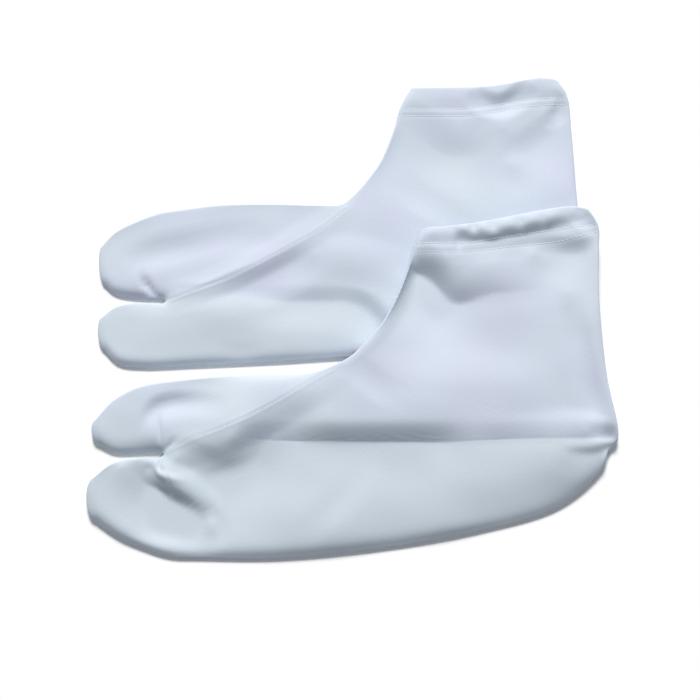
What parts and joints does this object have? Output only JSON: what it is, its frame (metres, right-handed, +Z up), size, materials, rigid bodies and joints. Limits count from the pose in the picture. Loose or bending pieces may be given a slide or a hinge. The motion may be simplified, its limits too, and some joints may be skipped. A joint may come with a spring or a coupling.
{
  "type": "pair of slip-on tabi socks",
  "caption": "Split-toe ankle socks of smooth white stretch jersey, laid flat with the front sock partly over the rear one.",
  "frame": {"origin": "centre of the pair's box on the plane it lies on", "axes": "+X from the toes to the heels, +Y from the soles to the mouths, +Z up"},
  "size_m": [0.236, 0.2194, 0.0126],
  "materials": {
    "front_jersey": "smooth fine-knit jersey with a slight sheen",
    "rear_jersey": "smooth fine-knit jersey with a slight sheen"
  },
  "bodies": {
    "root": {"front_sock": "front_jersey", "rear_sock": "rear_jersey"}
  },
  "joints": []
}
